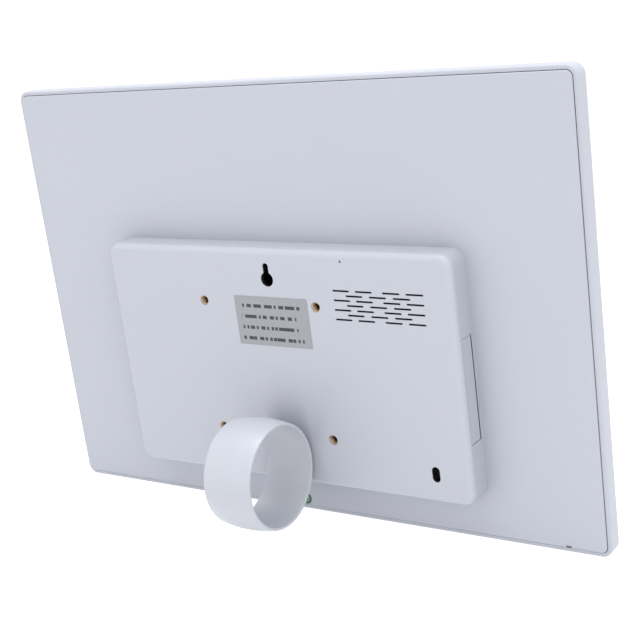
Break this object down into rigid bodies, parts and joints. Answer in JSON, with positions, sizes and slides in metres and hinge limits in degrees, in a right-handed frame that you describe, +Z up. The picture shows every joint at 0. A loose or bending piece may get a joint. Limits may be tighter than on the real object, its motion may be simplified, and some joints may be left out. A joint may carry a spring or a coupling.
{
  "type": "digital photo frame",
  "caption": "Leaning white digital photo frame with a raised rear housing, threaded wall-mount inserts, side port door, keys and a turning ring stand.",
  "frame": {"origin": "middle of the footprint, on the surface that the frame's bottom edge and the ring stand touch", "axes": "+X across the screen, -Y the way the screen faces, +Y to the rear housing and the stand, +Z up; the frame leans back about 13.8 degrees"},
  "size_m": [0.3574, 0.0962, 0.2402],
  "materials": {
    "white_plastic": "satin white ABS",
    "ring_plastic": "satin white ABS, polished",
    "key_plastic": "satin white ABS",
    "grey_plastic": "moulded grey plastic",
    "black_plastic": "moulded black plastic",
    "chassis_plastic": "white polycarbonate",
    "brass": "knurled brass",
    "steel": "zinc plated sheet",
    "screw_steel": "nickel plated",
    "aluminium": "black-free anodised",
    "screen_glass": "anti-glare display surface",
    "acrylic": "clear acrylic",
    "film": "white film",
    "board_green": "solder mask",
    "chip_black": "moulded epoxy",
    "foam": "foam gasket",
    "rubber": "rubber",
    "cone": "pressed cone",
    "cable": "flat cable",
    "label": "silver foil label",
    "sticker": "green paper sticker"
  },
  "bodies": {
    "case": {"backlight_lead": "cable", "backlight_tray": "steel", "board_connectors": "chassis_plastic", "board_screws": "screw_steel", "capacitors": "aluminium", "card_socket": "steel", "cell_holder": "black_plastic", "check_sticker": "sticker", "clock_cell": "screw_steel", "dc_inlet": "black_plastic", "display_ribbon": "cable", "door_pin": "screw_steel", "earphone_socket": "black_plastic", "film_stack": "film", "front_frame": "white_plastic", "hanging_plate": "steel", "heat_sink": "aluminium", "housing_screws": "screw_steel", "inner_speaker_cone": "cone", "inner_speaker_frame": "black_plastic", "key_board": "board_green", "key_ribbon": "cable", "key_switches": "black_plastic", "lcd_bezel": "steel", "lcd_brackets": "steel", "lcd_cell": "screen_glass", "lcd_chassis": "chassis_plastic", "lcd_screws": "screw_steel", "led_strip": "board_green", "light_guide": "acrylic", "main_board": "board_green", "main_chip": "chip_black", "memory_chips": "chip_black", "mini_usb_socket": "steel", "outer_speaker_cone": "cone", "outer_speaker_frame": "black_plastic", "port_plate": "grey_plastic", "power_board": "board_green", "power_ribbon": "cable", "rating_label": "label", "rear_housing": "white_plastic", "rear_panel": "white_plastic", "reflector_sheet": "film", "speaker_gasket": "foam", "speaker_leads": "cable", "stand_insert": "brass", "stand_washer": "rubber", "threaded_inserts": "brass", "usb_socket": "steel"},
    "stand_ring": {"stand_ring": "ring_plastic", "stand_stud": "screw_steel"},
    "side_door": {"side_door": "white_plastic"},
    "left_key": {"left_key": "key_plastic"},
    "right_key": {"right_key": "key_plastic"},
    "down_key": {"down_key": "key_plastic"},
    "up_key": {"up_key": "key_plastic"},
    "menu_key": {"menu_key": "key_plastic"},
    "play_key": {"play_key": "key_plastic"},
    "power_key": {"power_key": "key_plastic"}
  },
  "joints": [
    {"name": "ring_turn", "type": "hinge", "parent": "case", "child": "stand_ring", "pos_m": [-0.0006, -0.01217, 0.03754], "axis": [0, 0.9709, -0.2393], "range_deg": [0, 90]},
    {"name": "side_door_hinge", "type": "hinge", "parent": "case", "child": "side_door", "pos_m": [-0.1116, -0.00889, 0.10976], "axis": [0, 0.9709, -0.2393], "range_deg": [0, 90]},
    {"name": "left_key_press", "type": "slide", "parent": "case", "child": "left_key", "axis": [-1, 0, 0], "range_m": [0, 0.0005], "stiffness_N_per_m": 800, "springref_m": -0.0003},
    {"name": "right_key_press", "type": "slide", "parent": "case", "child": "right_key", "axis": [-1, 0, 0], "range_m": [0, 0.0005], "stiffness_N_per_m": 800, "springref_m": -0.0003},
    {"name": "down_key_press", "type": "slide", "parent": "case", "child": "down_key", "axis": [-1, 0, 0], "range_m": [0, 0.0005], "stiffness_N_per_m": 800, "springref_m": -0.0003},
    {"name": "up_key_press", "type": "slide", "parent": "case", "child": "up_key", "axis": [-1, 0, 0], "range_m": [0, 0.0005], "stiffness_N_per_m": 800, "springref_m": -0.0003},
    {"name": "menu_key_press", "type": "slide", "parent": "case", "child": "menu_key", "axis": [-1, 0, 0], "range_m": [0, 0.0005], "stiffness_N_per_m": 800, "springref_m": -0.0003},
    {"name": "play_key_press", "type": "slide", "parent": "case", "child": "play_key", "axis": [-1, 0, 0], "range_m": [0, 0.0005], "stiffness_N_per_m": 800, "springref_m": -0.0003},
    {"name": "power_key_press", "type": "slide", "parent": "case", "child": "power_key", "axis": [-1, 0, 0], "range_m": [0, 0.0005], "stiffness_N_per_m": 800, "springref_m": -0.0003}
  ]
}
